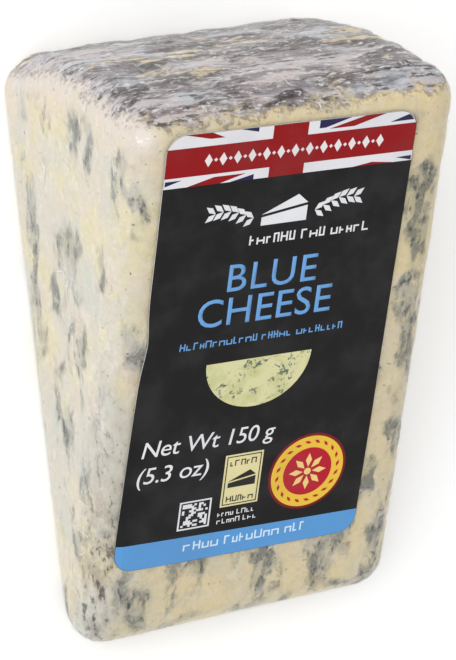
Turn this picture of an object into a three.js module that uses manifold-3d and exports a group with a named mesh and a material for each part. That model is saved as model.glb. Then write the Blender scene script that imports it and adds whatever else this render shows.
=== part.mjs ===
// A portion of blue cheese cut from a drum, wrapped in clear shrink film, with a paper label.
//
// The portion is a sector of one round slice of the drum. It lies on one of its two radial
// cut faces, so the label on the other cut face looks up.
// X runs along the drum's axis, across the slice. Y runs from the tip out to the rind. Z is up.
// All sizes are in millimetres. The origin is the centre of the footprint, on the surface below.

import * as THREE from 'three';
import { mergeVertices } from 'three/addons/utils/BufferGeometryUtils.js';
import Module from 'manifold-3d';

// The cheese
const SLICE_THICKNESS = 53;
const DRUM_RADIUS = 109.2;
const SECTOR_ANGLE = THREE.MathUtils.degToRad(27.5);

// The slice was cut a little askew, so the rind and the tip don't run quite square across it
const SLICE_SKEW = THREE.MathUtils.degToRad(2);
const EDGE_RADIUS = 4.9;

// How much rounder the tip and the rind's corners are than the edges across the slice
const TIP_EXTRA_RADIUS = 1.3;
const RIND_CORNER_EXTRA_RADIUS = 0.5;
const TIP_RADIUS = EDGE_RADIUS + TIP_EXTRA_RADIUS;
const RIND_CORNER_RADIUS = EDGE_RADIUS + RIND_CORNER_EXTRA_RADIUS;

// The shrink film
const FILM_GAP = 0.3;
const FILM_WALL = 0.2;
const SEAM_LENGTH = 60;
const SEAM_OPENING = 0.6;

// The label
const LABEL_WIDTH = 40.2;
const LABEL_LENGTH = 71.7;
const LABEL_CORNER_RADIUS = 3;
const LABEL_GAP = 0.3;
const LABEL_WALL = 0.2;
const LABEL_BELOW_RIND = 3.5;
const LABEL_SIDE_SHIFT = -1.9;
const LABEL_TURN = THREE.MathUtils.degToRad(-0.5);

// Faces per rounded stretch of the section, and per rounded edge
const SECTION_STEPS = 6;
const EDGE_STEPS = 4;

const wasm = await Module();
wasm.setup();

// The outline of the sector in the plane of Y and Z, with its drum's axis at 0,0 and one cut
// face on the line z = 0, grown outwards by an offset. Its four corners are arcs: the tip,
// which is one round nose, and the two corners between a cut face and the rind.
function sectorShape(offset) {
  const tipY = TIP_RADIUS / Math.tan(SECTOR_ANGLE / 2);
  const cornerReach = DRUM_RADIUS - RIND_CORNER_RADIUS;
  const cornerAngle = Math.asin(RIND_CORNER_RADIUS / cornerReach);
  const upperAngle = SECTOR_ANGLE - cornerAngle;
  const down = -Math.PI / 2;
  const upperNormal = SECTOR_ANGLE + Math.PI / 2;
  const corner = RIND_CORNER_RADIUS + offset;

  const shape = new THREE.Shape();
  shape.absarc(tipY, TIP_RADIUS, TIP_RADIUS + offset, upperNormal, 2 * Math.PI + down);
  shape.absarc(cornerReach * Math.cos(cornerAngle), RIND_CORNER_RADIUS, corner, down, cornerAngle);
  shape.absarc(0, 0, DRUM_RADIUS + offset, cornerAngle, upperAngle);
  shape.absarc(
    cornerReach * Math.cos(upperAngle), cornerReach * Math.sin(upperAngle),
    corner, upperAngle, upperNormal,
  );
  return shape;
}

// The rounded wedge, grown outwards on every side by an offset, as a manifold solid. The section
// is extruded across the slice, turned to stand in the plane of Y and Z, and skewed.
function wedgeSolid(offset) {
  const rounding = EDGE_RADIUS + offset;
  const straight = SLICE_THICKNESS - 2 * EDGE_RADIUS;
  const geometry = new THREE.ExtrudeGeometry(sectorShape(offset), {
    curveSegments: SECTION_STEPS,
    depth: straight,
    bevelThickness: rounding,
    bevelSize: rounding,
    bevelOffset: -rounding,
    bevelSegments: EDGE_STEPS,
  });
  geometry.translate(0, 0, -straight / 2);
  geometry.applyMatrix4(new THREE.Matrix4().set(
    0, 0, 1, 0,
    1, 0, Math.tan(SLICE_SKEW), 0,
    0, 1, 0, 0,
    0, 0, 0, 1,
  ));
  return toSolid(geometry);
}

function toSolid(geometry) {
  geometry.deleteAttribute('normal');
  geometry.deleteAttribute('uv');
  const merged = mergeVertices(geometry, 1e-5);
  return new wasm.Manifold(new wasm.Mesh({
    numProp: 3,
    vertProperties: new Float32Array(merged.attributes.position.array),
    triVerts: new Uint32Array(merged.index.array),
  }));
}

function toMesh(name, solid, look) {
  const data = solid.getMesh();
  const geometry = new THREE.BufferGeometry();
  geometry.setAttribute('position', new THREE.BufferAttribute(data.vertProperties, 3));
  geometry.setIndex(new THREE.BufferAttribute(data.triVerts, 1));
  geometry.computeVertexNormals();
  const mesh = new THREE.Mesh(geometry, new THREE.MeshStandardMaterial(look));
  mesh.name = name;
  return mesh;
}

// Paste and rind grew as one piece.
function cheese() {
  return toMesh('cheese', wedgeSolid(0), { color: 0xd9cfb0, roughness: 0.6, metalness: 0 });
}

// The film is a thin skin all round. Its lap seam runs along the middle of the face that the
// portion lies on, where the two edges of the film stay a little apart.
function shrinkFilm() {
  const skin = wedgeSolid(FILM_GAP + FILM_WALL).subtract(wedgeSolid(FILM_GAP));
  const seam = new THREE.BoxGeometry(SEAM_OPENING, SEAM_LENGTH, 2 * (FILM_GAP + FILM_WALL));
  seam.translate(0, faceMiddle(), -(FILM_GAP + FILM_WALL));
  return toMesh('shrink_film', skin.subtract(toSolid(seam)), {
    color: 0xf2f4f4, roughness: 0.15, metalness: 0, transparent: true, opacity: 0.2,
  });
}

// The distance from the drum's axis to the middle of a cut face's flat stretch.
function faceMiddle() {
  const tip = TIP_RADIUS / Math.tan(SECTOR_ANGLE / 2);
  const rindEnd = Math.sqrt(DRUM_RADIUS ** 2 - 2 * DRUM_RADIUS * RIND_CORNER_RADIUS);
  return (tip + rindEnd) / 2;
}

// A rounded rectangle stood square on the upper cut face cuts the label out of a skin that
// lies over the film, so the label keeps to the film where it nears the rounded edge.
function frontLabel() {
  const x = LABEL_WIDTH / 2 - LABEL_CORNER_RADIUS;
  const y = LABEL_LENGTH / 2 - LABEL_CORNER_RADIUS;
  const r = LABEL_CORNER_RADIUS;
  const outline = new THREE.Shape();
  outline.absarc(x, y, r, 0, Math.PI / 2);
  outline.absarc(-x, y, r, Math.PI / 2, Math.PI);
  outline.absarc(-x, -y, r, Math.PI, 1.5 * Math.PI);
  outline.absarc(x, -y, r, 1.5 * Math.PI, 2 * Math.PI);

  const reach = 2 * EDGE_RADIUS;
  const cutter = new THREE.ExtrudeGeometry(outline, {
    curveSegments: SECTION_STEPS, depth: reach, bevelEnabled: false,
  });
  cutter.translate(0, 0, -reach / 2);
  cutter.rotateZ(LABEL_TURN);
  const fromAxis = DRUM_RADIUS - LABEL_BELOW_RIND - LABEL_LENGTH / 2;
  cutter.translate(LABEL_SIDE_SHIFT, fromAxis, 0);
  cutter.rotateX(SECTOR_ANGLE);

  const under = FILM_GAP + FILM_WALL + LABEL_GAP;
  const skin = wedgeSolid(under + LABEL_WALL).subtract(wedgeSolid(under));
  return toMesh('front_label', skin.intersect(toSolid(cutter)), {
    color: 0x2b2828, roughness: 0.4, metalness: 0,
  });
}

const portion = new THREE.Group();
portion.add(cheese(), shrinkFilm(), frontLabel());

// The origin is the middle of the footprint, level with the lowest point.
const extent = new THREE.Box3().setFromObject(portion);
const middle = extent.getCenter(new THREE.Vector3());
portion.position.set(-middle.x, -middle.y, -extent.min.z);

export default portion;
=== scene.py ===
# %% [markdown]
# # A wrapped wedge of blue cheese
#
# This lesson makes a portion of blue-veined cheese as a shop sells it. A wedge is cut from a drum,
# clear film is shrunk round it, and a printed paper label is stuck on the film. The plain solids
# come from the CAD model, which fixes every size and place. Blender adds what makes it look real:
# the rough rind, the veined paste, the wrinkled film and the print.
#
# This first cell loads the CAD solids and bakes their places into their meshes. It also holds
# helpers that read a solid's box, tie a piece to a body and hide solids.

# %% Load the frame
import math
import random

import bpy
import numpy as np
from mathutils import Matrix, Vector
from mathutils.bvhtree import BVHTree


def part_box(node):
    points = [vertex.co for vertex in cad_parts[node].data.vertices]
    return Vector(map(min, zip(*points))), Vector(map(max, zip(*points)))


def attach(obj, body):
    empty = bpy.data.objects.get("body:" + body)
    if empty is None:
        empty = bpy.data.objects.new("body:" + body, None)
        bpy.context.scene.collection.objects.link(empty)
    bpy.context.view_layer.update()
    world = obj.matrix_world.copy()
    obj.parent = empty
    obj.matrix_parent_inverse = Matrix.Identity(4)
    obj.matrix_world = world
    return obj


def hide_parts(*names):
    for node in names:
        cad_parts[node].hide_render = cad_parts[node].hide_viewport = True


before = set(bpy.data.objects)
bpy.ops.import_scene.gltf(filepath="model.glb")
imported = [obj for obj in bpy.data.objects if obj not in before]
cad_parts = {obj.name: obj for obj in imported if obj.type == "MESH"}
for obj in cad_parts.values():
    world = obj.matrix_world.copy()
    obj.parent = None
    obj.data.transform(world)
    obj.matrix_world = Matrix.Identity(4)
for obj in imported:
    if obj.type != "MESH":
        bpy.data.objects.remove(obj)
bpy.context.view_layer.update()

MM = 0.001

# %% [markdown]
# ## Where the drum was
#
# The wedge is a sector of a round drum. Several steps need to know how far a point is from the
# drum's axis, because the rind is the drum's skin and the veins run out from its middle. The axis
# runs along X. Its place follows from the cheese's box: the outermost point of the wedge is on the
# rounded corner between the rind and the lower cut face. The slice is a little askew, so the axis
# leans by the same small share.

# %% Find the drum's axis
DRUM_RADIUS = 109.2 * MM
RIND_CORNER = 5.4 * MM
EDGE_RADIUS = 4.9 * MM
SECTOR = math.radians(27.5)
SKEW = math.tan(math.radians(2))

cheese_low, cheese_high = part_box("cheese")
half_slice = (cheese_high.x - cheese_low.x) / 2
corner_reach = math.sqrt((DRUM_RADIUS - RIND_CORNER) ** 2 - RIND_CORNER ** 2) + RIND_CORNER
axis_y = cheese_high.y - corner_reach - SKEW * (half_slice - EDGE_RADIUS)
axis_z = cheese_low.z
print("drum's axis at y, z in mm:", round(axis_y / MM, 2), round(axis_z / MM, 2))

# %% [markdown]
# ## Small helpers
#
# An operator acts on everything that is selected, and the CAD solids come in selected. So
# `deselect_all` comes before every new primitive, and `only` selects one piece and nothing else.
# `cad_copy` makes a working copy of a CAD solid. Its triangles come in loose, so their corners are
# merged first. `even_skin` remeshes a piece in even squares, and `smooth_skin` and `thicken` give
# it a Smooth or a Solidify modifier. The rest apply modifiers, read corner points, keep a value
# for each point, and measure a smooth step and the depth under the drum's skin.

# %% Helpers for meshes
def deselect_all():
    bpy.ops.object.select_all(action="DESELECT")


def only(piece):
    deselect_all()
    piece.select_set(True)
    bpy.context.view_layer.objects.active = piece


def in_edit_mode(piece, *steps):
    only(piece)
    bpy.ops.object.mode_set(mode="EDIT")
    for step in steps:
        bpy.ops.mesh.select_all(action="SELECT")
        step()
    bpy.ops.object.mode_set(mode="OBJECT")


def cad_copy(node, name):
    copy = bpy.data.objects.new(name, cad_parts[node].data.copy())
    copy.data.materials.clear()
    bpy.context.collection.objects.link(copy)
    in_edit_mode(copy, lambda: bpy.ops.mesh.remove_doubles(threshold=0.001 * MM))
    return copy


def apply_modifiers(piece):
    only(piece)
    for modifier in list(piece.modifiers):
        bpy.ops.object.modifier_apply(modifier=modifier.name)


def even_skin(piece, voxel):
    only(piece)
    piece.data.remesh_voxel_size = voxel
    bpy.ops.object.voxel_remesh()


def smooth_skin(piece, rounds):
    smoother = piece.modifiers.new("smooth", "SMOOTH")
    smoother.factor = 0.5
    smoother.iterations = rounds


def thicken(piece, thickness, offset=1):
    wall = piece.modifiers.new("wall", "SOLIDIFY")
    wall.thickness = thickness
    wall.offset = offset
    return wall


def corners_of(piece):
    places = np.empty(len(piece.data.vertices) * 3)
    piece.data.vertices.foreach_get("co", places)
    return places.reshape(-1, 3)


def store(piece, name, values):
    attribute = piece.data.attributes.new(name, "FLOAT", "POINT")
    attribute.data.foreach_set("value", np.asarray(values, np.float32))


def smooth_step(values, start, end):
    share = np.clip((values - start) / (end - start), 0, 1)
    return share * share * (3 - 2 * share)


def depth_under_rind(places):
    radial = np.hypot(places[:, 1] - axis_y - SKEW * places[:, 0], places[:, 2] - axis_z)
    return DRUM_RADIUS - radial

# %% [markdown]
# ## The wedge, fine enough to shape
#
# The CAD wedge has the right size, but few and uneven faces. A voxel remesh gives it an even skin
# of small squares, about half a millimetre each, which is fine enough to hold the crumbs of the
# rind. A Smooth modifier takes the facets out of the rounded edges. The alternative, subdividing
# the CAD faces, would crowd points at the corners and leave the flat sides coarse.

# %% Remesh the wedge
VOXEL = 0.47 * MM
SMOOTH_ROUNDS = 12

cheese = cad_copy("cheese", "cheese_wedge")
even_skin(cheese, VOXEL)
smooth_skin(cheese, SMOOTH_ROUNDS)
apply_modifiers(cheese)
bpy.ops.object.shade_smooth()
print("cheese:", len(cheese.data.polygons), "faces")

# %% [markdown]
# ## Soft waves
#
# Cheese is cut by wire and squeezed by its film, so no face is quite flat. A Displace modifier
# pushes the skin in and out along its normals by a cloud texture. A vertex group holds it back
# near the face that the wedge lies on, so that it stays flat there.
#
# `push` adds such a modifier. Where the texture has its `middle` value, the skin stays in place.
# With an empty as its `stretch`, the texture takes the empty's scale.

# %% Helpers that push a skin in and out
def point_group(piece, name, weights):
    group = piece.vertex_groups.new(name=name)
    for index, weight in enumerate(weights):
        group.add([index], float(weight), "REPLACE")


def cloud(name, size, depth=2, hard=False):
    texture = bpy.data.textures.new(name, "CLOUDS")
    texture.noise_scale = size
    texture.noise_depth = depth
    texture.noise_type = "HARD_NOISE" if hard else "SOFT_NOISE"
    return texture


def push(piece, texture, strength, middle=0.5, group="", stretch=None):
    modifier = piece.modifiers.new(texture.name, "DISPLACE")
    modifier.texture = texture
    modifier.strength = strength
    modifier.mid_level = middle
    modifier.vertex_group = group
    if stretch:
        modifier.texture_coords = "OBJECT"
        modifier.texture_coords_object = stretch


# %% Push the faces in and out a little
HELD_BELOW, FREE_ABOVE = 0.5 * MM, 6 * MM
WAVE_SIZE, WAVE_DEPTH = 13 * MM, 0.36 * MM

above_base = smooth_step(corners_of(cheese)[:, 2], axis_z + HELD_BELOW, axis_z + FREE_ABOVE)
point_group(cheese, "above_base", above_base)
push(cheese, cloud("soft_waves", WAVE_SIZE), WAVE_DEPTH, group="above_base")
apply_modifiers(cheese)
print("points that may move freely:", int((above_base > 0.99).sum()), "of", len(above_base))

# %% [markdown]
# ## The crust and the crumb
#
# The rind is dry and rough. It is wrinkled along the slice, because the drum was turned and rubbed
# that way. The displacement textures are stretched along X by an empty that lends its scale to the
# texture. Hard noise gives the sharp creases. The crust only reaches as far as the rind does, so a
# vertex group fades it out over the rounded corner. The paste gets a much finer crumb.

# %% Roughen the rind and the paste
RIND_FULL, RIND_ENDS = 0.6 * MM, 4.2 * MM
FOLD_SIZE, FOLD_DEPTH, FOLD_MIDDLE = 3.4 * MM, -1.0 * MM, 0.10
GRIT_SIZE, GRIT_DEPTH, GRIT_MIDDLE = 1.1 * MM, -0.35 * MM, 0.35
CRUMB_SIZE, CRUMB_DEPTH = 1.7 * MM, 0.28 * MM
FOLD_STRETCH = 3

before = corners_of(cheese)
under_skin = depth_under_rind(before)
store(cheese, "under_rind", under_skin / MM)
rind_share = 1 - smooth_step(under_skin, RIND_FULL, RIND_ENDS)
point_group(cheese, "rind", rind_share)

along_slice = bpy.data.objects.new("along_slice", None)
along_slice.scale = (FOLD_STRETCH, 1, 1)
bpy.context.collection.objects.link(along_slice)

folds = cloud("crust_folds", FOLD_SIZE, 4, True)
push(cheese, folds, FOLD_DEPTH, FOLD_MIDDLE, "rind", along_slice)
grit = cloud("crust_grit", GRIT_SIZE, 3)
push(cheese, grit, GRIT_DEPTH, GRIT_MIDDLE, "rind", along_slice)
push(cheese, cloud("paste_crumb", CRUMB_SIZE, 3), CRUMB_DEPTH, group="above_base")
apply_modifiers(cheese)
bpy.data.objects.remove(along_slice)
print("points in the crust:", int((rind_share > 0.5).sum()), "of", len(rind_share))

# %% [markdown]
# ## How deep the crevices are
#
# The skin before and after is compared, and each point keeps how far it sank. The rind's finish
# uses that to paint shade into the crevices, so the painted shade lies on the real folds.
# Painting that shade by a noise of its own would put the dark lines beside the real folds.

# %% Keep how far each point sank
normals = np.empty(len(cheese.data.vertices) * 3)
cheese.data.vertices.foreach_get("normal", normals)
sunk = ((before - corners_of(cheese)) * normals.reshape(-1, 3)).sum(axis=1)
store(cheese, "sunk", sunk / MM)
print("rind sinks by up to", round(float(sunk.max() / MM), 2), "mm")

# %% [markdown]
# ## Needle tracks
#
# Blue cheese is pierced with needles from its rind towards its middle, and the mould grows along
# the holes. Each needle track is a straight line out from the drum's axis, at a place along the
# slice and an angle round the drum. Every point keeps how near it is to a track, and the material
# crowds its veins there.
#
# The tracks are listed one by one: millimetres along the slice from its middle, degrees round the
# drum from the face that the wedge lies on, and a strength. `from_track` measures how far each
# point of the skin is from such a line, in millimetres.

# %% Mark the needle tracks
NEEDLES = [(-26, 10, 0.4), (-26, 18, 0.4), (-26, 4, 0.3), (-25, 24, 0.4), (-13, 27, 0.3),
           (2, 26, 0.4), (12, 27, 0.5), (22, 26, 0.4), (25, 20, 0.5), (24, 11, 0.7), (26, 4, 0.5),
           (-16, 1, 0.6), (-4, 0, 0.8), (9, 1, 0.5), (18, 0, 0.7), (17, 27, 0.3)]
VEIN_REACH = 2.6

along_x = before[:, 0] / MM
up_y = (before[:, 1] - axis_y) / MM - SKEW * along_x
up_z = (before[:, 2] - axis_z) / MM


def from_track(slice_place, degrees):
    angle = math.radians(degrees)
    beside = up_z * math.cos(angle) - up_y * math.sin(angle)
    return np.hypot(beside, along_x - slice_place)


near_needle = np.zeros(len(before))
for slice_place, degrees, strength in NEEDLES:
    distance = from_track(slice_place, degrees)
    near_needle = np.maximum(near_needle, strength * np.exp(-(distance / VEIN_REACH) ** 2))
print("points near a needle track:", int((near_needle > 0.3).sum()), "of", len(before))

# %% [markdown]
# ## Nests of mould
#
# Along its tracks the mould grows in nests, where there was a gap between the curds. The largest
# ones give a wedge its look, so they are listed one by one as well: millimetres along the slice,
# degrees round the drum, millimetres under the rind, and a strength. A nest is longer than wide.

# %% Mark the nests
NESTS = [(-26, 16, 8, 1.0), (-26, 19, 13, 0.9), (-25, 24, 10, 1.0), (-26, 23, 25, 0.8),
         (-26, 19, 31, 0.5), (-26, 11, 35, 1.2), (-26, 5, 31, 0.6), (-26, 24, 42, 0.9),
         (-26, 12, 46, 0.5), (-26, 15, 54, 0.7), (-26, 20, 59, 0.8), (-26, 9, 71, 0.8),
         (-26, 18, 73, 0.7), (22, 27, 17, 1.2), (20, 27, 36, 1.1), (23, 27, 45, 1.2),
         (17, 27, 48, 0.9), (6, 27, 80, 0.5), (-11, 27, 80, 0.3), (14, 27, 86, 0.4)]
NEST_WIDTH, NEST_LENGTH = 2.6, 5.0

for slice_place, degrees, depth, strength in NESTS:
    sideways = from_track(slice_place, degrees) / NEST_WIDTH
    lengthways = (under_skin / MM - depth) / NEST_LENGTH
    near_needle = np.maximum(near_needle, strength * np.exp(-sideways ** 2 - lengthways ** 2))
store(cheese, "near_needle", near_needle)
print("points near a track or in a nest:", int((near_needle > 0.3).sum()))

# %% [markdown]
# ## A bruised edge
#
# The long edge beside the label was handled most, so it is bruised and a little dirty towards the
# tip. A second value marks it: it is strongest on a line just inside that edge, fades within a few
# millimetres of it, and grows from the middle of the wedge to its tip.

# %% Mark the bruised edge
BRUISE_WIDTH = 4
BRUISE_BELOW_FACE = 1.5
BRUISE_PLACE = -25
BRUISE_STARTS, BRUISE_FULL = 30 * MM, 78 * MM

over_face = up_z * math.cos(SECTOR) - up_y * math.sin(SECTOR)
from_edge = np.hypot(over_face + BRUISE_BELOW_FACE, along_x - BRUISE_PLACE)
toward_tip = smooth_step(under_skin, BRUISE_STARTS, BRUISE_FULL)
bruise = np.exp(-(from_edge / BRUISE_WIDTH) ** 2) * toward_tip
store(cheese, "bruise", bruise)
print("points on the bruised edge:", int((bruise > 0.3).sum()))

# %% [markdown]
# ## Mixing colours by nodes
#
# Every finish here is procedural: noise decides where each colour goes. `Recipe` keeps one
# material's nodes together and has a short call for each kind of node that the finishes need.
# Pattern coordinates are in millimetres, so a noise `size` is the size of its blotches in
# millimetres. Coordinates come from the object itself, so a pattern stays on the piece. `step`
# rises from 0 to 1 between two values, or falls when the first is the larger. `wash` lays a colour
# over another one, as strongly as a share says.

# %% The recipe for a material
def paint(red, green, blue):
    def linear(channel):
        share = channel / 255
        return share / 12.92 if share <= 0.04045 else ((share + 0.055) / 1.055) ** 2.4
    return (linear(red), linear(green), linear(blue), 1)


class Recipe:
    def __init__(self, name):
        self.material = bpy.data.materials.new(name)
        self.material.use_nodes = True
        self.tree = self.material.node_tree
        self.surface = self.tree.nodes["Principled BSDF"]

    def node(self, kind, inputs, output=0, **settings):
        made = self.tree.nodes.new("ShaderNode" + kind)
        for key, value in settings.items():
            setattr(made, key, value)
        for key, value in inputs.items():
            self.feed(made.inputs[key], value)
        return made.outputs[output]

    def feed(self, socket, value):
        if isinstance(value, bpy.types.NodeSocket):
            self.tree.links.new(value, socket)
        else:
            socket.default_value = value

    def place_along(self):
        return self.node("SeparateXYZ", {"Vector": self.millimetres()}, "X")

    def millimetres(self, stretch=(1, 1, 1), turn=(0, 0, 0), shift=(0, 0, 0)):
        place = self.node("TexCoord", {}, "Object")
        scale = [MM * share for share in stretch]
        where = {"Vector": place, "Rotation": turn, "Scale": scale}
        stretched = self.node("Mapping", where, vector_type="TEXTURE")
        return self.node("Mapping", {"Vector": stretched, "Location": shift})

    def noise(self, where, size, detail=3, rough=0.55, twist=0.0):
        inputs = {"Vector": where, "Scale": 1 / size, "Detail": detail,
                  "Roughness": rough, "Distortion": twist}
        return self.node("TexNoise", inputs)

    def attribute(self, name):
        return self.node("Attribute", {}, "Fac", attribute_name=name)

    def step(self, value, start, end):
        inputs = {"Value": value, "From Min": start, "From Max": end}
        return self.node("MapRange", inputs, interpolation_type="SMOOTHSTEP")

    def reckon(self, kind, first, second=0.0):
        return self.node("Math", {0: first, 1: second}, operation=kind)

    def times(self, first, second):
        return self.reckon("MULTIPLY", first, second)

    def plus(self, first, second):
        return self.reckon("ADD", first, second)

    def mix(self, share, under, over):
        return self.node("Mix", {0: share, 6: under, 7: over}, 2, data_type="RGBA")

    def wash(self, under, share, strength, over):
        return self.mix(self.times(share, strength), under, over)

    def bump(self, height, distance, strength, under=None):
        inputs = {"Height": height, "Distance": distance, "Strength": strength}
        if under:
            inputs["Normal"] = under
        return self.node("Bump", inputs)

    def finish(self, **inputs):
        for key, value in inputs.items():
            self.feed(self.surface.inputs[key.replace("_", " ")], value)
        return self.material

# %% [markdown]
# ## The cream of the paste
#
# The paste is cream, yellower under the rind and on the inner faces, with pale curds and a grain.
# Near its edge with the rind it is smeared a little grey. Each wash has a noise of its own, and a
# second set of coordinates, moved aside, keeps two noises from falling on the same places.

# %% The cream's colours
PASTE_ASIDE = (31, 17, 5)
COOL_CREAM, YELLOW_CREAM = paint(199, 194, 180), paint(208, 198, 164)
PINK_CREAM, RIPE_CREAM = paint(205, 194, 178), paint(218, 198, 158)
INNER_CREAM, SMEARED_CREAM = paint(218, 199, 151), paint(205, 196, 192)
DULL_GRAIN, PALE_CURD = paint(180, 171, 148), paint(218, 212, 200)


def inner_share(r, along):
    return r.times(r.step(along, -26, -18), 0.7)


def cream_colour(r, depth, along):
    even = r.millimetres()
    aside = r.millimetres(shift=PASTE_ASIDE)
    cream = r.mix(r.step(r.noise(even, 10), 0.43, 0.58), COOL_CREAM, YELLOW_CREAM)
    cream = r.mix(r.step(r.noise(aside, 6, 4), 0.48, 0.62), cream, PINK_CREAM)
    ripe = r.times(r.step(depth, 11, 4), r.step(r.noise(aside, 11), 0.36, 0.60))
    cream = r.wash(cream, ripe, 0.55, RIPE_CREAM)
    cream = r.mix(inner_share(r, along), cream, INNER_CREAM)
    grain = r.step(r.noise(even, 1.3, 4, 0.7), 0.46, 0.66)
    cream = r.wash(cream, grain, 0.32, DULL_GRAIN)
    curds = r.step(r.noise(aside, 2.8, 5, 0.7), 0.54, 0.64)
    cream = r.wash(cream, curds, 0.4, PALE_CURD)
    smear = r.times(r.step(depth, 8, 2), r.step(along, -21, -25))
    return r.wash(cream, smear, 0.7, SMEARED_CREAM)

# %% [markdown]
# ## The mould
#
# The mould shows on a cut face as short smudges that run out from the middle of the drum, blue-grey
# at their soft borders and nearly black at the core. They crowd along the needle tracks, in the
# nests and towards the tip, and stay clear of the rind. All of it is noise, stretched along the
# wedge: broad patches first, and each finer noise only shows inside the coarser one. A single noise
# would give spots of one size, like a terrazzo.

# %% Where the mould's haze, smudges and cores are
RADIAL_TURN = (SECTOR / 2, 0, 0)
RADIAL_STRETCH, STROKE_STRETCH = (1, 1.8, 1), (1, 2.4, 1)


def mould_shares(r, depth, along):
    radial = r.millimetres(stretch=RADIAL_STRETCH, turn=RADIAL_TURN)
    strokes = r.millimetres(stretch=STROKE_STRETCH, turn=RADIAL_TURN)
    tracks = r.times(r.attribute("near_needle"), 0.22)
    crowd = r.plus(r.times(r.step(depth, 5, 80), 0.04), r.times(r.step(along, -24, 20), 0.025))
    patches = r.plus(r.noise(radial, 7, 3, 0.5), r.plus(crowd, tracks))
    veined = r.times(r.step(patches, 0.535, 0.645), r.step(depth, 4, 8))
    spread = r.plus(r.noise(radial, 4.6, 5, 0.6, 0.3), r.times(tracks, 0.3))
    haze = r.times(r.step(spread, 0.44, 0.58), veined)
    mould = r.plus(r.noise(radial, 2.2, 5, 0.66, 0.4), r.times(tracks, 0.35))
    smudges = r.times(r.step(mould, 0.46, 0.60), haze)
    cores = r.times(r.step(r.noise(strokes, 0.8, 3, 0.6), 0.52, 0.62), smudges)
    return haze, smudges, cores

# %% [markdown]
# ## Bloom, bruises and the whole paste
#
# A pale grey-green bloom lies on the paste in broad patches, less so on the inner faces. The
# bruised edge is brown, with dark crumbs. The mould goes over both, from its haze to its cores, and
# a few brown specks come last.

# %% Lay bloom, bruises and mould over the cream
BLOOM = paint(184, 187, 178)
BRUISE_BROWN, DARK_CRUMB = paint(134, 124, 114), paint(56, 47, 43)
BLUE_HAZE, OLIVE_HAZE = paint(142, 145, 142), paint(149, 144, 118)
MOULD_GREY, MOULD_CORE = paint(88, 92, 88), paint(40, 42, 40)
BROWN_SPECK = paint(74, 66, 54)


def bloomed_and_bruised(r, cream, depth, along):
    radial = r.millimetres(stretch=RADIAL_STRETCH, turn=RADIAL_TURN)
    strokes = r.millimetres(stretch=STROKE_STRETCH, turn=RADIAL_TURN)
    bloom = r.times(r.step(r.noise(radial, 12, 3), 0.48, 0.64), r.step(depth, 6, 20))
    outer = r.reckon("SUBTRACT", 0.55, r.times(inner_share(r, along), 0.45))
    cream = r.mix(r.times(bloom, outer), cream, BLOOM)
    bruised = r.attribute("bruise")
    bruise = r.times(bruised, r.step(r.noise(strokes, 2.2, 5, 0.7), 0.36, 0.60))
    cream = r.wash(cream, bruise, 0.7, BRUISE_BROWN)
    crumbs = r.times(r.step(r.noise(strokes, 1.1, 4, 0.7), 0.55, 0.62), bruised)
    return r.wash(cream, crumbs, 0.85, DARK_CRUMB)


def paste_colour(r):
    depth, along = r.attribute("under_rind"), r.place_along()
    cream = bloomed_and_bruised(r, cream_colour(r, depth, along), depth, along)
    haze, smudges, cores = mould_shares(r, depth, along)
    tint = r.step(r.noise(r.millimetres(shift=PASTE_ASIDE), 15, 2), 0.44, 0.60)
    colour = r.wash(cream, haze, 0.60, r.mix(tint, BLUE_HAZE, OLIVE_HAZE))
    colour = r.wash(colour, smudges, 0.70, MOULD_GREY)
    colour = r.wash(colour, cores, 0.85, MOULD_CORE)
    specks = r.step(r.noise(r.millimetres(), 0.8, 2, 0.5), 0.70, 0.74)
    return r.wash(colour, specks, 0.7, BROWN_SPECK)

# %% [markdown]
# ## The rind's two grounds
#
# The rind is grey and mauve with a blue frost, white flecks that are partly mould and partly
# painted glints of the film, and crevices darkened with painted shade, and here and there it is
# rubbed down to the ochre underneath. Most of its patches are streaks along the slice, so the
# pattern is stretched that way. It starts from two grounds, a frosted pale one and a dark one.

# %% The pale and the dark ground
GREY_FROST, BLUE_FROST = paint(191, 183, 183), paint(182, 186, 192)
PINK_FROST, GREY_STREAK = paint(198, 182, 172), paint(112, 102, 107)
DARK_BROWN, DARK_MAUVE = paint(56, 45, 42), paint(128, 117, 118)
DARK_GRIT = paint(46, 37, 36)


def pale_ground(r, aside, streaky):
    frost = r.step(r.noise(r.millimetres(shift=(40, 10, 5)), 9, 4), 0.45, 0.58)
    pale = r.mix(frost, GREY_FROST, BLUE_FROST)
    pink = r.step(r.noise(aside, 6, 4), 0.52, 0.62)
    pale = r.wash(pale, pink, 0.5, PINK_FROST)
    shade = r.step(r.noise(streaky, 2.6, 5, 0.62), 0.45, 0.60)
    return r.wash(pale, shade, 0.85, GREY_STREAK)


def dark_ground(r, aside, across):
    mauve = r.step(r.noise(aside, 2.2, 5, 0.7), 0.42, 0.58)
    grit = r.step(r.noise(across, 0.9, 5, 0.7), 0.50, 0.60)
    return r.wash(r.mix(mauve, DARK_BROWN, DARK_MAUVE), grit, 0.6, DARK_GRIT)

# %% [markdown]
# ## The whole rind
#
# The pale ground shows in patches over the dark one, and more so towards one cut face. Ochre comes
# next, with a brown rim round each patch of it, then thin dark streaks and white flecks, partly
# mould and partly painted glints of the film, and last painted shade in the crevices that the
# shape itself has.

# %% Join the grounds, the ochre, the streaks and the crevices
RUBBED_RIM, OCHRE = paint(78, 62, 54), paint(210, 192, 152)
# The white fleck colour is partly mould and partly painted glint; the crevice colour is painted
# shade.
THIN_STREAK, MOULD_AND_GLINT_WHITE, CREVICE_SHADE = paint(46, 37, 35), paint(224, 222, 224), paint(38, 30, 29)


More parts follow.
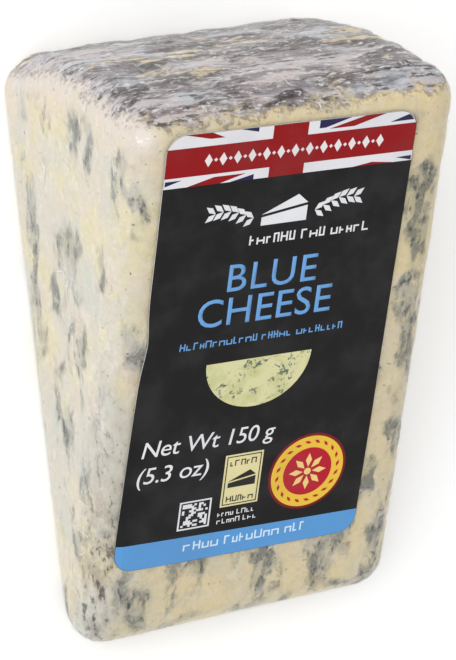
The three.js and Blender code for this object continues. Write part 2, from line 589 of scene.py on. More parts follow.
def rind_colour(r):
    across = r.millimetres(stretch=(2.6, 1, 1))
    aside = r.millimetres(stretch=(2, 1, 1), shift=(9, 70, 3))
    streaky = r.millimetres(stretch=(4.5, 1, 1), shift=(2, 11, 8))
    speckled = r.millimetres(stretch=(2, 1, 1), shift=(5, 5, 5))

    paler = r.times(r.step(r.place_along(), 0, -24), 0.07)
    frosted = r.step(r.plus(r.noise(across, 8, 5, 0.62), paler), 0.475, 0.54)
    colour = r.mix(frosted, dark_ground(r, aside, across), pale_ground(r, aside, streaky))
    rubbed = r.noise(across, 6.5, 6, 0.66, 0.4)
    colour = r.wash(colour, r.step(rubbed, 0.52, 0.57), 0.55, RUBBED_RIM)
    colour = r.wash(colour, r.step(rubbed, 0.58, 0.63), 0.85, OCHRE)
    thin = r.step(r.noise(streaky, 1.1, 5, 0.66), 0.545, 0.60)
    colour = r.wash(colour, thin, 0.85, THIN_STREAK)
    # White flecks: partly mould, partly painted glints of the film's wrinkles.
    mould_and_glint_flecks = r.step(r.noise(speckled, 0.7, 5, 0.7), 0.55, 0.61)
    colour = r.wash(colour, mould_and_glint_flecks, 0.7, MOULD_AND_GLINT_WHITE)
    # Painted shade: the deeper the skin sank, the darker its crevice.
    crevice_shade = r.step(r.attribute("sunk"), 0.38, 0.75)
    return r.wash(colour, crevice_shade, 0.8, CREVICE_SHADE)

# %% [markdown]
# ## One finish for the whole cheese
#
# Paste and rind are one solid, and so they share one material. The depth under the drum's skin
# decides between them. Their real border is ragged, so broad and fine noise shake the depth first,
# and just outside the border the paste is frayed with brown. Two bumps add grain that is finer
# than the mesh. A little subsurface light makes the paste look moist and full of fat.

# %% Join paste and rind in one finish
FRAYED_BROWN = paint(108, 88, 80)
PASTE_ROUGHNESS, RIND_ROUGHNESS = 0.55, 0.8
GRAIN_HEIGHT, LUMP_HEIGHT = 0.14 * MM, 0.35 * MM


def cheese_finish():
    r = Recipe("veined_cheese")
    even = r.millimetres()
    broad = r.times(r.reckon("SUBTRACT", r.noise(even, 4, 4, 0.6), 0.5), 6.0)
    fine = r.times(r.reckon("SUBTRACT", r.noise(even, 0.9, 3, 0.7), 0.5), 1.8)
    depth = r.plus(r.plus(r.attribute("under_rind"), broad), fine)
    rind = r.step(depth, 2.4, 1.3)
    frayed = r.times(r.step(depth, 3.6, 2.4), r.step(r.noise(even, 0.9, 3), 0.50, 0.60))
    paste = r.wash(paste_colour(r), frayed, 0.6, FRAYED_BROWN)
    colour = r.mix(rind, paste, rind_colour(r))
    grain = r.noise(even, 0.55, 4, 0.65)
    lumps = r.noise(even, 2.2, 4, 0.6)
    relief = r.bump(grain, GRAIN_HEIGHT, 0.7, r.bump(lumps, LUMP_HEIGHT, 0.5))
    roughness = r.node("Mix", {0: rind, 2: PASTE_ROUGHNESS, 3: RIND_ROUGHNESS})
    return r.finish(Base_Color=colour, Roughness=roughness, Normal=relief, Subsurface_Weight=0.10,
                    Subsurface_Radius=(1.0, 0.75, 0.45), Subsurface_Scale=0.8 * MM)


cheese.data.materials.append(cheese_finish())
print("cheese finish:", len(cheese.data.materials[0].node_tree.nodes), "nodes")

# %% [markdown]
# ## The film
#
# The film is a thin skin that is shrunk on to the cheese by heat, so it follows the crust but
# bridges its pits. A copy of the cheese is remeshed with a coarser voxel and smoothed, which
# bridges the pits in the same way. It is pushed out by its clearance, crumpled very slightly, and
# given a thickness. A cloth simulation would find much the same skin, as heat pulls the film tight.

# %% Shape the film
FILM_VOXEL = 0.8 * MM
FILM_ROUNDS = 8
FILM_CLEARANCE = 0.24 * MM
FILM_THICKNESS = 0.06 * MM
FILM_HELD_BELOW, FILM_FREE_ABOVE = 0.3 * MM, 5 * MM
CRUMPLE_SIZE, CRUMPLE_DEPTH = 4 * MM, 0.14 * MM

film = cheese.copy()
film.data = cheese.data.copy()
film.name = "clear_film"
bpy.context.collection.objects.link(film)
film.vertex_groups.clear()
film.data.materials.clear()
even_skin(film, FILM_VOXEL)
smooth_skin(film, FILM_ROUNDS)
film_heights = corners_of(film)[:, 2]
free = smooth_step(film_heights, axis_z + FILM_HELD_BELOW, axis_z + FILM_FREE_ABOVE)
point_group(film, "above_base", free)
outward = film.modifiers.new("clearance", "DISPLACE")
outward.strength = FILM_CLEARANCE
outward.mid_level = 0
push(film, cloud("film_crumple", CRUMPLE_SIZE, 3), CRUMPLE_DEPTH, group="above_base")
thicken(film, FILM_THICKNESS)
apply_modifiers(film)
bpy.ops.object.shade_smooth()
print("film:", len(film.data.polygons), "faces")

# %% [markdown]
# ## The lap seam
#
# A wrapping machine closes the film in a long lap on the face that the pack lies on, and welds it.
# It is a narrow strip of a second layer. A plane is added at its size and place, subdivided,
# crimped a little by a cloud texture, and given a thickness.

# %% Lay the lap seam under the wedge
SEAM_LENGTH = 60 * MM
SEAM_WIDTH = 7 * MM
SEAM_DROP = 0.09 * MM
SEAM_CUTS = 60
CRIMP_SIZE, CRIMP_DEPTH = 2.5 * MM, 0.04 * MM

film_foot = corners_of(film)[:, 2].min()
deselect_all()
bpy.ops.mesh.primitive_plane_add(size=1, location=(0, 0, film_foot - SEAM_DROP))
seam = bpy.context.object
seam.name = "film_lap_seam"
seam.scale = (SEAM_WIDTH, SEAM_LENGTH, 1)
bpy.ops.object.transform_apply(location=True, rotation=False, scale=True)
in_edit_mode(seam, lambda: bpy.ops.mesh.subdivide(number_cuts=SEAM_CUTS))
push(seam, cloud("seam_crimp", CRIMP_SIZE, 2), CRIMP_DEPTH)
thicken(seam, FILM_THICKNESS, 0)
apply_modifiers(seam)
bpy.ops.object.shade_smooth()
print("seam:", len(seam.data.polygons), "faces, film's foot at", round(film_foot / MM, 3), "mm")

# %% [markdown]
# ## The film's finish
#
# Thin film bends no light, so glass is the wrong shader for it: two walls of glass would darken
# the cheese. What the eye sees is a faint white gloss that grows towards the outline, and a milky
# gleam where the film wrinkles or folds. So a clear shader and a glossy white one are mixed, and
# the share of gloss comes from how far the skin turns away, from wrinkles, and from creases.

# %% Make the film's finish
WRINKLE_HEIGHT = 0.16 * MM
LEAST_GLOSS, OUTLINE_GLOSS, WRINKLE_GLOSS, CREASE_GLOSS = 0.02, 0.25, 0.07, 0.22


def film_finish():
    r = Recipe("clear_film")
    even = r.millimetres()
    wrinkles = r.noise(r.millimetres(stretch=(4, 1, 1)), 1.3, 4, 0.6, 0.8)
    fold = r.reckon("ABSOLUTE", r.reckon("SUBTRACT", r.noise(even, 11, 2, 0.4, 0.6), 0.5))
    gathered = r.step(r.noise(r.millimetres(shift=(7, 3, 9)), 8, 2), 0.50, 0.62)
    crease = r.times(r.step(fold, 0.010, 0.002), gathered)
    height = r.plus(wrinkles, r.times(crease, 1.5))
    relief = r.bump(height, WRINKLE_HEIGHT, 0.8)
    r.finish(Base_Color=(1, 1, 1, 1), Metallic=1.0, Roughness=0.24, Normal=relief)

    clear = r.node("BsdfTransparent", {})
    facing = r.node("LayerWeight", {"Blend": 0.5, "Normal": relief}, "Facing")
    share = r.times(r.reckon("POWER", facing, 5.0), OUTLINE_GLOSS)
    haze = r.times(r.step(wrinkles, 0.54, 0.66), WRINKLE_GLOSS)
    share = r.plus(r.plus(share, haze), LEAST_GLOSS)
    share = r.plus(share, r.times(crease, CREASE_GLOSS))
    whole = r.node("MixShader", {0: share, 1: clear, 2: r.surface.outputs[0]})
    r.tree.links.new(whole, r.tree.nodes["Material Output"].inputs["Surface"])
    return r.material


for piece in (film, seam):
    piece.data.materials.append(film_finish())
print("film finish:", len(film.data.materials[0].node_tree.nodes), "nodes")

# %% [markdown]
# ## How the label lies
#
# Everything printed is first drawn flat, in the label's own millimetres: u runs to the right and v
# runs up towards the rind, from the label's middle. `on_face` carries a flat point to its place
# over the cut face: it follows the face's small skew and bends round the rounded edge on the left.
# The label's left edge isn't straight, because the paper was pulled a little as it was stuck on:
# it has a small dent near its middle, and from there it drifts outwards towards the foot.

# %% Carry a flat point to the cut face
LABEL_WIDTH = 40.2
LABEL_LENGTH = 71.7
LABEL_CORNER = 3.0
LABEL_MIDDLE_X = -1.9
LABEL_UNDER_RIND = 3.5
LABEL_MIDDLE_OUT = DRUM_RADIUS / MM - LABEL_UNDER_RIND - LABEL_LENGTH / 2
LABEL_TURN = math.radians(-0.5)
PAPER = 0.10
PAPER_CLEARANCE = 0.04
HALF_U = LABEL_WIDTH / 2
HALF_V = LABEL_LENGTH / 2
PULL_STARTS, PULL_WIDTH = -6, 14
DENT_V, DENT_DEPTH, DENT_WIDTH = 3, 0.45, 4
DRIFT, DRIFT_LENGTH, DRIFT_CURVE = 1.05, 32, 0.8


def within_one(share):
    return max(0.0, min(1.0, share))


def pull_left(u, v):
    near_edge = within_one((PULL_STARTS - u) / PULL_WIDTH)
    dent = DENT_DEPTH * math.exp(-((v - DENT_V) / DENT_WIDTH) ** 2)
    drift = DRIFT * within_one((DENT_V - v) / DRIFT_LENGTH) ** DRIFT_CURVE
    return near_edge * (dent - drift)


def on_face(u, v, rise):
    u += pull_left(u, v)
    x = LABEL_MIDDLE_X + u * math.cos(LABEL_TURN) - v * math.sin(LABEL_TURN)
    out = LABEL_MIDDLE_OUT + u * math.sin(LABEL_TURN) + v * math.cos(LABEL_TURN)
    rise -= SKEW * x * math.sin(SECTOR)
    bend_start = (EDGE_RADIUS - half_slice) / MM
    if x < bend_start:
        radius = EDGE_RADIUS / MM + rise
        angle = (bend_start - x) / radius
        x = bend_start - radius * math.sin(angle)
        rise -= radius * (1 - math.cos(angle))
    y = out * math.cos(SECTOR) - rise * math.sin(SECTOR)
    z = out * math.sin(SECTOR) + rise * math.cos(SECTOR)
    return Vector((x * MM, axis_y + y * MM, axis_z + z * MM))


print("label's middle in mm:", [round(c / MM, 2) for c in on_face(0, 0, 0)])

# %% [markdown]
# ## What the label rests on
#
# Paper lies on the high points of the film and bridges its dents. So the film's height is felt
# with rays on a coarse grid, each grid point takes the highest of its neighbours, and the result
# is averaged. `on_label` adds this height. The label and its print all use it, so they stay
# together. A Shrinkwrap modifier would press the paper into every dent instead.

# %% Feel the film under the label
ACROSS, UP = 14, 24
REACH = 3.0

film_tree = BVHTree.FromObject(film, bpy.context.evaluated_depsgraph_get())
felt = np.zeros((ACROSS, UP))
for row, u in enumerate(np.linspace(-HALF_U, HALF_U, ACROSS)):
    for column, v in enumerate(np.linspace(-HALF_V, HALF_V, UP)):
        start = on_face(u, v, REACH)
        heading = (on_face(u, v, 0) - start).normalized()
        distance = film_tree.ray_cast(start, heading)[3]
        felt[row, column] = REACH - distance / MM


def with_neighbours(heights, combine):
    wide = np.pad(heights, 1, mode="edge")
    rows, columns = heights.shape
    shifted = [wide[i:i + rows, j:j + columns] for i in range(3) for j in range(3)]
    return combine(np.stack(shifted), axis=0)


paper_rest = with_neighbours(with_neighbours(felt, np.max), np.mean)
print("film under the label, lowest and highest in mm:", felt.min().round(2), felt.max().round(2))


# %% Height of the paper at any flat point
INSIDE_LAST_CELL = 1.001


def paper_height(u, v):
    row = (u / LABEL_WIDTH + 0.5) * (ACROSS - INSIDE_LAST_CELL)
    column = (v / LABEL_LENGTH + 0.5) * (UP - INSIDE_LAST_CELL)
    i, j = max(0, int(row)), max(0, int(column))
    a, b = row - i, column - j
    near = paper_rest[i, j] * (1 - b) + paper_rest[i, j + 1] * b
    far = paper_rest[i + 1, j] * (1 - b) + paper_rest[i + 1, j + 1] * b
    return near * (1 - a) + far * a


def on_label(u, v, lift):
    return on_face(u, v, paper_height(u, v) + PAPER_CLEARANCE + lift)

# %% [markdown]
# ## Flat shapes
#
# A printed shape starts as a filled circle with one corner for each point of its outline, and the
# corners are then moved to their places. Words are text objects turned into meshes. Shapes of the
# same ink are joined, sliced into small cells so that they can bend, cleaned of corners that
# coincide, carried to the label and given a thickness. Capitals in Blender's own typeface are 0.69
# of its size, so a word's size follows from how tall its capitals should be.

# %% Draw flat shapes
def flat_shape(points):
    deselect_all()
    bpy.ops.mesh.primitive_circle_add(vertices=len(points), radius=1, fill_type="NGON")
    shape = bpy.context.object
    for vertex, (u, v) in zip(shape.data.vertices, points):
        vertex.co = (u, v, 0)
    return shape


def rectangle(left, bottom, right, top):
    return [(left, bottom), (right, bottom), (right, top), (left, top)]


def arc(u, v, radius, start, end, count, squash=1.0):
    angles = np.radians(np.linspace(start, end, count))
    return [(u + radius * math.cos(a), v + radius * squash * math.sin(a)) for a in angles]


CORNER_POINTS = 9


def rounded(left, bottom, right, top, radius):
    centres = [(right - radius, top - radius), (left + radius, top - radius),
               (left + radius, bottom + radius), (right - radius, bottom + radius)]
    outline = []
    for quarter, (u, v) in enumerate(centres):
        outline += arc(u, v, radius, 90 * quarter, 90 * quarter + 90, CORNER_POINTS)
    return outline


# %% Write words
CAPITAL = 0.69


def words(text, left, base, height, spacing=1.0, middle=False, weight=0.0, slant=0.0):
    deselect_all()
    bpy.ops.object.text_add()
    writing = bpy.context.object
    writing.data.body = text
    writing.data.size = height / CAPITAL
    writing.data.space_character = spacing
    writing.data.align_x = "CENTER" if middle else "LEFT"
    writing.data.offset = weight
    writing.data.shear = slant
    writing.data.resolution_u = 4
    only(writing)
    bpy.ops.object.convert(target="MESH")
    shape = bpy.context.object
    shape.data.transform(Matrix.Translation((left, base, 0)))
    return shape


# %% Join shapes, slice them and lay them on the label
CELL = 1.0
HAIR = 0.005


def joined(name, shapes):
    only(shapes[0])
    for shape in shapes:
        shape.select_set(True)
    bpy.ops.object.join()
    piece = bpy.context.object
    piece.name = name
    return piece


def slice_up(piece):
    reach = np.abs(corners_of(piece)).max(axis=0)
    cuts = []
    for axis, normal in ((0, (1, 0, 0)), (1, (0, 1, 0))):
        count = int(reach[axis] / CELL)
        for index in range(-count, count + 1):
            point = [0, 0, 0]
            point[axis] = index * CELL
            cuts.append((tuple(point), normal))
    in_edit_mode(piece, *[
        lambda point=point, normal=normal: bpy.ops.mesh.bisect(plane_co=point, plane_no=normal)
        for point, normal in cuts
    ])


def lay_on_label(piece, lift, thickness):
    slice_up(piece)
    in_edit_mode(piece, lambda: bpy.ops.mesh.remove_doubles(threshold=HAIR / 5))
    for vertex in piece.data.vertices:
        vertex.co = on_label(vertex.co.x, vertex.co.y, lift)
    thicken(piece, thickness * MM).material_offset_rim = 1
    apply_modifiers(piece)

# %% [markdown]
# ## The label's paper
#
# The label is a rectangle with round corners. Its face is printed black, and the cut edge of the
# paper stays white. Printed paper has a soft uneven gloss: `ink` fades its colour in broad patches,
# varies the roughness, and adds a fine tooth by a bump.

# %% A finish for printed paper
SATIN = 0.34
TOOTH_HEIGHT = 0.02 * MM


def tooth(r):
    return r.bump(r.noise(r.millimetres(), 0.35, 3), TOOTH_HEIGHT, 0.5)


def ink(name, colour, roughness=SATIN):
    r = Recipe(name)
    even = r.millimetres()
    faded = [channel * 0.9 + 0.012 for channel in colour[:3]] + [1]
    worn = r.mix(r.step(r.noise(even, 7, 4), 0.4, 0.7), colour, faded)
    gloss = {"Value": r.noise(even, 5, 3), "To Min": roughness - 0.06, "To Max": roughness + 0.08}
    shine = r.node("MapRange", gloss)
    return r.finish(Base_Color=worn, Roughness=shine, Normal=tooth(r), Specular_IOR_Level=0.2)


# %% Cut the label
label = flat_shape(rounded(-HALF_U, -HALF_V, HALF_U, HALF_V, LABEL_CORNER))
label.name = "label_paper"
label.data.materials.append(ink("label_black", paint(22, 20, 21)))
label.data.materials.append(ink("label_edge", paint(225, 225, 225), 0.6))
lay_on_label(label, 0, PAPER)
print("label:", len(label.data.polygons), "faces")

# %% [markdown]
# ## The print
#
# The label's design is a generic one: a band across the top, two plain words, the weight, a drawing
# of a wedge between two sprigs, a medal with a flower, and rows of strokes where the small print
# would be. Each ink is one piece, and each lies a little higher than the one it is printed over.
# Strokes of one ink that meet keep a hair's gap, so that each of them is a closed solid.
# An image texture could hold all of this, but real shapes stay sharp from any distance.

# %% A helper for one ink
LAYER = 0.03
INK_THICKNESS = 0.8 * LAYER
prints = []


def printed(name, shapes, colour, layer, finish=ink):
    piece = joined(name, shapes)
    piece.data.materials.clear()
    piece.data.materials.append(finish(name + "_ink", colour))
    lay_on_label(piece, PAPER + layer * LAYER, INK_THICKNESS)
    prints.append(piece)
    print(name, "has", len(piece.data.polygons), "faces")

# %% [markdown]
# ## Small print
#
# Words too small to read are rows of plain strokes: an upright, a bar at its foot, middle or head,
# and sometimes a second upright. They keep the rhythm of print and say nothing. The random numbers
# start from a fixed seed, so the strokes are the same each time.

# %% A helper for small print
random.seed(11)


def small_print(left, base, height, words_long):
    strokes = []
    pen = height * 0.17
    for letters in words_long:
        for _ in range(letters):
            wide = height * random.choice((0.45, 0.6, 0.7))
            tall = height * random.choice((0.72, 0.72, 1.0))
            strokes.append(rectangle(left, base, left + pen, base + tall))
            level = base + random.choice((0.0, tall / 2 - pen / 2, tall - pen))
            strokes.append(rectangle(left + pen + HAIR, level, left + wide - HAIR, level + pen))
            if random.random() < 0.5:
                strokes.append(rectangle(left + wide, base, left + wide + pen, base + tall))
            left += wide + pen + height * 0.17
        left += height * 0.5
    return [flat_shape(stroke) for stroke in strokes]

# %% [markdown]
# ## The band across the top
#
# A striped band runs across the label's head: a red bar and a red upright on white, with slanting
# red and navy strokes in the corners. Each stroke is a polygon with its corners in the label's
# millimetres. White goes on first, and red and navy over it.

# %% Print the band
BAND_FOOT = 27.8
BAR_LOW, BAR_HIGH = 29.4, 33.8
UPRIGHT_LEFT, UPRIGHT_RIGHT = -3.5, 2.1
MARGIN = 0.05

top = HALF_V - MARGIN
round_u, round_v = HALF_U - LABEL_CORNER, HALF_V - LABEL_CORNER
round_print = LABEL_CORNER - MARGIN
band_outline = arc(round_u, round_v, round_print, 0, 90, CORNER_POINTS)
band_outline += arc(-round_u, round_v, round_print, 90, 180, CORNER_POINTS)
band_outline += [(MARGIN - HALF_U, BAND_FOOT), (HALF_U - MARGIN, BAND_FOOT)]
printed("print_band_white", [flat_shape(band_outline)], paint(222, 222, 226), 0)

red_shapes = [
    flat_shape(rectangle(MARGIN - HALF_U, BAR_LOW, HALF_U - MARGIN, BAR_HIGH)),
    flat_shape(rectangle(UPRIGHT_LEFT, BAND_FOOT, UPRIGHT_RIGHT, BAR_LOW - HAIR)),
    flat_shape(rectangle(UPRIGHT_LEFT, BAR_HIGH + HAIR, UPRIGHT_RIGHT, top)),
    flat_shape([(5.6, 34.35), (9.6, 34.35), (14.7, top), (11.4, top)]),
    flat_shape([(-17.2, top), (-13.4, 34.9), (-11.2, 34.9), (-13.2, top)]),
    flat_shape([(-16.4, BAND_FOOT), (-12.2, 28.9), (-7.2, 28.9), (-11.2, BAND_FOOT)]),
    flat_shape([(10.4, BAND_FOOT), (13.4, 28.25), (17.0, BAND_FOOT)]),
]
printed("print_red", red_shapes, paint(142, 8, 14), 1)

navy_shapes = [
    flat_shape([(3.9, 34.6), (4.9, 34.6), (9.0, top), (3.9, top)]),
    flat_shape([(15.6, 34.3), (19.5, 34.35), (19.0, 35.0), (18.6, 35.25)]),
    flat_shape([(-8.6, top), (-5.9, 35.15), (-5.9, top)]),
    flat_shape([(-9.6, BAND_FOOT), (-5.9, BAND_FOOT), (-5.9, 28.6)]),
    flat_shape([(-19.9, 28.2), (-17.4, 28.95), (-19.9, 28.95)]),
    flat_shape([(17.4, 28.5), (19.9, 27.9), (19.9, 28.6)]),
]
printed("print_navy", navy_shapes, paint(36, 34, 76), 1)

# %% [markdown]
# ## A border on the bar
#
# The bar carries a row of white lozenges, large and small by turns, all from one helper.

# %% Print the border
BAR_MIDDLE = (BAR_LOW + BAR_HIGH) / 2
BORDER_MIDDLE = 0.4
BORDER_STEP = 2.3


def lozenge(u, v, wide, tall):
    return flat_shape([(u - wide, v), (u, v - tall), (u + wide, v), (u, v + tall)])


border = []
for place in range(-6, 7):
    border.append(lozenge(BORDER_MIDDLE + BORDER_STEP * place, BAR_MIDDLE, 0.62, 1.0))
for place in range(-6, 6):
    border.append(lozenge(BORDER_MIDDLE + BORDER_STEP * (place + 0.5), BAR_MIDDLE, 0.3, 0.3))
printed("print_border", border, paint(228, 222, 222), 2)

# %% [markdown]
# ## Blue words and the blue foot
#
# The label names what it holds in two plain words, in sky blue, with a line of small print under
# them. A blue strip closes the label's foot, and a pale line is printed over it.

# %% Print the blue parts
sky = [
    words("BLUE", -0.7, 10.0, 4.4, 1.08, True, 0.012),
    words("CHEESE", -1.2, 4.5, 4.5, 1.02, True, 0.012),
]
sky += small_print(-14.6, 1.15, 1.15, [12, 5, 8])
printed("print_sky", sky, paint(105, 160, 216), 0)

foot_outline = arc(-round_u, -round_v, round_print, 180, 270, CORNER_POINTS)
foot_outline += arc(round_u, -round_v, round_print, 270, 360, CORNER_POINTS)
foot_outline += [(HALF_U - MARGIN, -31.9), (MARGIN - HALF_U, -31.2)]
printed("print_foot", [flat_shape(foot_outline)], paint(88, 150, 208), 0)
printed("print_foot_line", small_print(-9.6, -33.9, 1.5, [4, 7, 3]), paint(205, 226, 246), 1)

# %% [markdown]
# ## Leaves and a drawing of a wedge
#
# The ornament is a small wedge seen from its side and top, between two sprigs of leaves. One leaf
# is a lozenge with a tip. A sprig repeats it along a gentle arch, one leaf up and one leaf down.

# %% Draw a leaf, a sprig and a wedge
SPRIG_START, SPRIG_FOOT, SPRIG_STEP = 5.0, 21.6, 1.25
SPRIG_RISE, SPRIG_ARCH, SPRIG_LEAN = 1.6, 0.42, 38
SPRIG_PAIRS, SPRIG_LEAF = 6, 2.0
LEAF_WIDTH = 0.22


def leaf(u, v, length, angle):
    forward = (length * math.cos(angle), length * math.sin(angle))
    side = (-forward[1] * LEAF_WIDTH, forward[0] * LEAF_WIDTH)
    tip = (u + forward[0], v + forward[1])
    middle = (u + forward[0] / 2, v + forward[1] / 2)
    return flat_shape([(u, v), (middle[0] - side[0], middle[1] - side[1]), tip,
                       (middle[0] + side[0], middle[1] + side[1])])


def sprig(side):
    shapes = []
    heading = math.radians(SPRIG_LEAN if side > 0 else 180 - SPRIG_LEAN)
    for index in range(SPRIG_PAIRS):
        u = side * (SPRIG_START + SPRIG_STEP * index)
        v = SPRIG_FOOT + SPRIG_RISE * math.sin(index * SPRIG_ARCH)
        shapes.append(leaf(u, v, SPRIG_LEAF, heading))
        shapes.append(leaf(u, v, SPRIG_LEAF, -heading))
    return shapes


def wedge_drawing(u, v, size):
    side = [(-1.0, -0.55), (1.0, -0.55), (1.0, 0.1), (-1.0, -0.2)]
    top_face = [(-1.0, -0.08), (1.0, 0.22), (0.55, 0.62)]
    outlines = [[(u + size * a, v + size * b) for a, b in outline] for outline in (side, top_face)]
    return [flat_shape(outline) for outline in outlines]


white = wedge_drawing(0, 22.2, 3.7) + sprig(1) + sprig(-1)
print("ornament:", len(white), "shapes")

# %% [markdown]
# ## The weight and a square code
#
# The weight is set in slanted words, in grams and in ounces. Beside it stands a square code, as on
# most packs. Its cells are filled at random, so it holds no message. All of it is one white ink.

# %% Print the white parts
CODE_LEFT, CODE_FOOT, CODE_SIZE, CODE_CELLS = -10.9, -30.1, 5.0, 11
CODE_LINE = 0.25


def outline_lines(left, foot, right, head, line):
    low, high = foot + line + HAIR, head - line - HAIR
    sides = [(left, foot, right, foot + line), (left, head - line, right, head),
             (left, low, left + line, high), (right - line, low, right, high)]
    return [flat_shape(rectangle(*side)) for side in sides]


def square_code(left, foot, size):
    cell = (size - 4 * CODE_LINE) / CODE_CELLS
    start_u, start_v = left + 2 * CODE_LINE, foot + 2 * CODE_LINE
    shapes = outline_lines(left, foot, left + size, foot + size, CODE_LINE)
    for index in range(CODE_CELLS ** 2):
        if random.random() < 0.5:
            u = start_u + cell * (index % CODE_CELLS)
            v = start_v + cell * (index // CODE_CELLS)
            shapes.append(flat_shape(rectangle(u, v, u + cell * 0.98, v + cell * 0.98)))
    return shapes


white += small_print(-5.2, 17.2, 1.5, [6, 3, 5])
white.append(words("Net Wt 150 g", -18.3, -16.2, 2.7, 0.96, slant=0.15))
white.append(words("(5.3 oz)", -18.6, -20.7, 2.7, 0.96, slant=0.15))
white += small_print(-4.6, -28.8, 0.85, [4, 4])
white += small_print(-4.6, -30.1, 0.85, [5, 3])
white += square_code(CODE_LEFT, CODE_FOOT, CODE_SIZE)
printed("print_white", white, paint(226, 227, 230), 0)

# %% [markdown]
# ## The medal
#
# A printed medal stands in the lower right corner: a dark red rim, a gold ring with a wreath of
# small red leaves, and a red disc with a flower of eight petals. Each colour is an ink of its own,
# printed over the one before.

# %% Print the medal
MEDAL_U, MEDAL_V = 10.1, -23.3
RIM_RADIUS, GOLD_RADIUS, DISC_RADIUS = 6.65, 6.2, 4.15
WREATH_RADIUS, WREATH_LEAVES, WREATH_LEAN = 5.0, 20, 1.25
PETALS = 8


def disc(radius, corners):
    return flat_shape(arc(MEDAL_U, MEDAL_V, radius, 0, 360 - 360 / corners, corners))


def around_medal(radius, count, length, lean):
    shapes = []
    for index in range(count):
        angle = math.tau * index / count
        u = MEDAL_U + radius * math.cos(angle)
        v = MEDAL_V + radius * math.sin(angle)
        shapes.append(leaf(u, v, length, angle + lean))
    return shapes


printed("print_medal_rim", [disc(RIM_RADIUS, 60)], paint(120, 14, 26), 0)
printed("print_medal_gold", [disc(GOLD_RADIUS, 60)], paint(230, 190, 62), 1)
medal_red = [disc(DISC_RADIUS, 48)] + around_medal(WREATH_RADIUS, WREATH_LEAVES, 1.15, WREATH_LEAN)
printed("print_medal_red", medal_red, paint(178, 20, 42), 2)
flower = around_medal(0.8, PETALS, 2.4, 0) + [disc(0.6, 12)]
printed("print_medal_flower", flower, paint(240, 205, 130), 3)

# %% [markdown]
# ## The cream card
#
# A small cream card with a dark border repeats the drawing of the wedge, between two short rows of
# small print.

# %% Print the card
printed("print_card", [flat_shape(rectangle(-4.4, -27.2, 2.0, -18.1))], paint(222, 212, 160), 0)
dark = wedge_drawing(-1.2, -22.6, 2.3)
dark += small_print(-3.5, -20.1, 1.0, [5])
dark += small_print(-3.5, -26.4, 1.0, [5])
dark += outline_lines(-4.1, -26.9, 1.7, -18.4, 0.15)
printed("print_card_dark", dark, paint(38, 36, 34), 1)

# %% [markdown]
# ## The half disc
#
# In the middle of the label half a drum of cheese is shown, cut across. It is printed in pale
# cream with blue-grey veins, so its ink has a small vein pattern instead of one colour.

# %% Print the half disc
def veined_ink(name, colour):
    r = Recipe(name)
    even = r.millimetres()
    cream = r.mix(r.step(r.noise(even, 3), 0.4, 0.65), colour, paint(196, 196, 140))
    where = r.step(r.noise(even, 3.2, 3), 0.46, 0.58)
    veins = r.times(r.step(r.noise(even, 0.9, 4, 0.6, 1.0), 0.52, 0.62), where)
    veined = r.mix(veins, cream, paint(92, 104, 96))
    return r.finish(Base_Color=veined, Roughness=SATIN, Normal=tooth(r))


half_disc = flat_shape(arc(-0.9, -1.8, 8.7, 180, 360, 40, 0.95))
printed("print_half_disc", [half_disc], paint(214, 210, 160), 0, veined_ink)
print("print:", len(prints), "inks")

# %% [markdown]
# ## Camera
#
# The camera looks down on the label, from beyond its left edge, with the rind at the head of the
# view. A long lens from under half a metre keeps the far end nearly as large as the near one. Its
# axes are worked out from three vectors: where it stands, what it aims at, and which way is up.

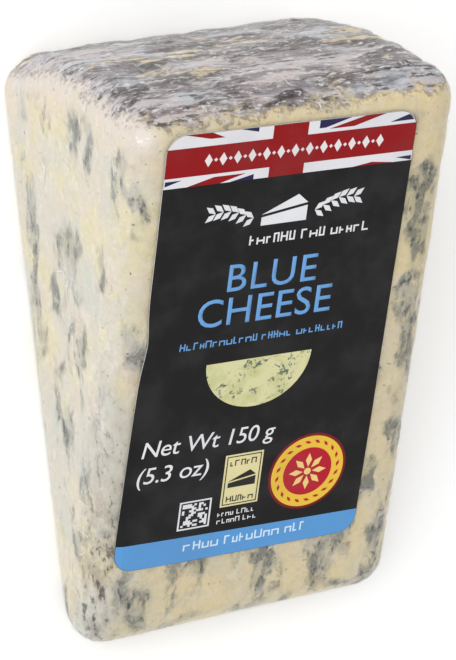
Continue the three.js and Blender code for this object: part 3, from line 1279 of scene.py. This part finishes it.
# %% Place the camera
camera_data = bpy.data.cameras.new("camera")
camera_data.lens = 160
camera_data.sensor_width = 36
camera_data.clip_start = 0.01
camera = bpy.data.objects.new("camera", camera_data)
bpy.context.collection.objects.link(camera)
camera_place = Vector((-192.15, 30.99, 415.45)) * MM
aim = Vector((-1.97, -0.26, 21.07)) * MM
upright = Vector((0.125, 1, 0))
ahead = (aim - camera_place).normalized()
right = ahead.cross(upright).normalized()
turned = Matrix((right, right.cross(ahead), -ahead)).transposed().to_4x4()
camera.matrix_world = Matrix.Translation(camera_place) @ turned
bpy.context.scene.camera = camera
print("camera to the wedge in mm:", round((aim - camera_place).length / MM, 1))

# %% [markdown]
# ## The floor
#
# The pack lies on a plain pale floor. A floor that only reflects goes grey in the pack's shade, so
# this one gives off a little light of its own, as a light table does.

# %% Add the floor
deselect_all()
bpy.ops.mesh.primitive_plane_add(size=8)
floor = bpy.context.object
floor.name = "floor"
pale_floor = Recipe("pale_floor")
floor.data.materials.append(pale_floor.finish(
    Base_Color=(0.93, 0.93, 0.93, 1), Roughness=0.7,
    Emission_Color=(1, 1, 1, 1), Emission_Strength=0.12))
print("floor:", round(floor.dimensions.x, 1), "m across")

# %% [markdown]
# ## The light
#
# One very large soft lamp stands on the left, and an even white surround fills the shadows. A small
# lamp would put a hard bright spot on the film. The view transform is Standard, so that the floor
# stays clean white and the colours stay as painted.

# %% Add the lamp and the surround
LAMP_PLACE = (-0.98, 0.22, 1.08)
LAMP_SIZE = 1.7
LAMP_WATTS = 15.5
SURROUND = 0.70

lamp_data = bpy.data.lights.new("key", "AREA")
lamp_data.shape = "DISK"
lamp_data.size = LAMP_SIZE
lamp_data.energy = LAMP_WATTS
lamp = bpy.data.objects.new("key", lamp_data)
bpy.context.collection.objects.link(lamp)
lamp.location = LAMP_PLACE
lamp.rotation_euler = (aim - lamp.location).to_track_quat("-Z", "Y").to_euler()

world = bpy.data.worlds.new("studio")
bpy.context.scene.world = world
world.use_nodes = True
surround = world.node_tree.nodes["Background"].inputs
surround["Color"].default_value = (1, 1, 1, 1)
surround["Strength"].default_value = SURROUND
bpy.context.scene.view_settings.view_transform = "Standard"
print("lamp to the wedge in m:", round((aim - lamp.location).length, 2))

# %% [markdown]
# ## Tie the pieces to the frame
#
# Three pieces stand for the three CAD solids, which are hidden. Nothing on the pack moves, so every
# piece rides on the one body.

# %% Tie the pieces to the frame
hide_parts("cheese")
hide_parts("shrink_film")
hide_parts("front_label")
for piece in [cheese, film, seam, label] + prints:
    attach(piece, "root")
print("pieces tied to the frame:", 4 + len(prints))
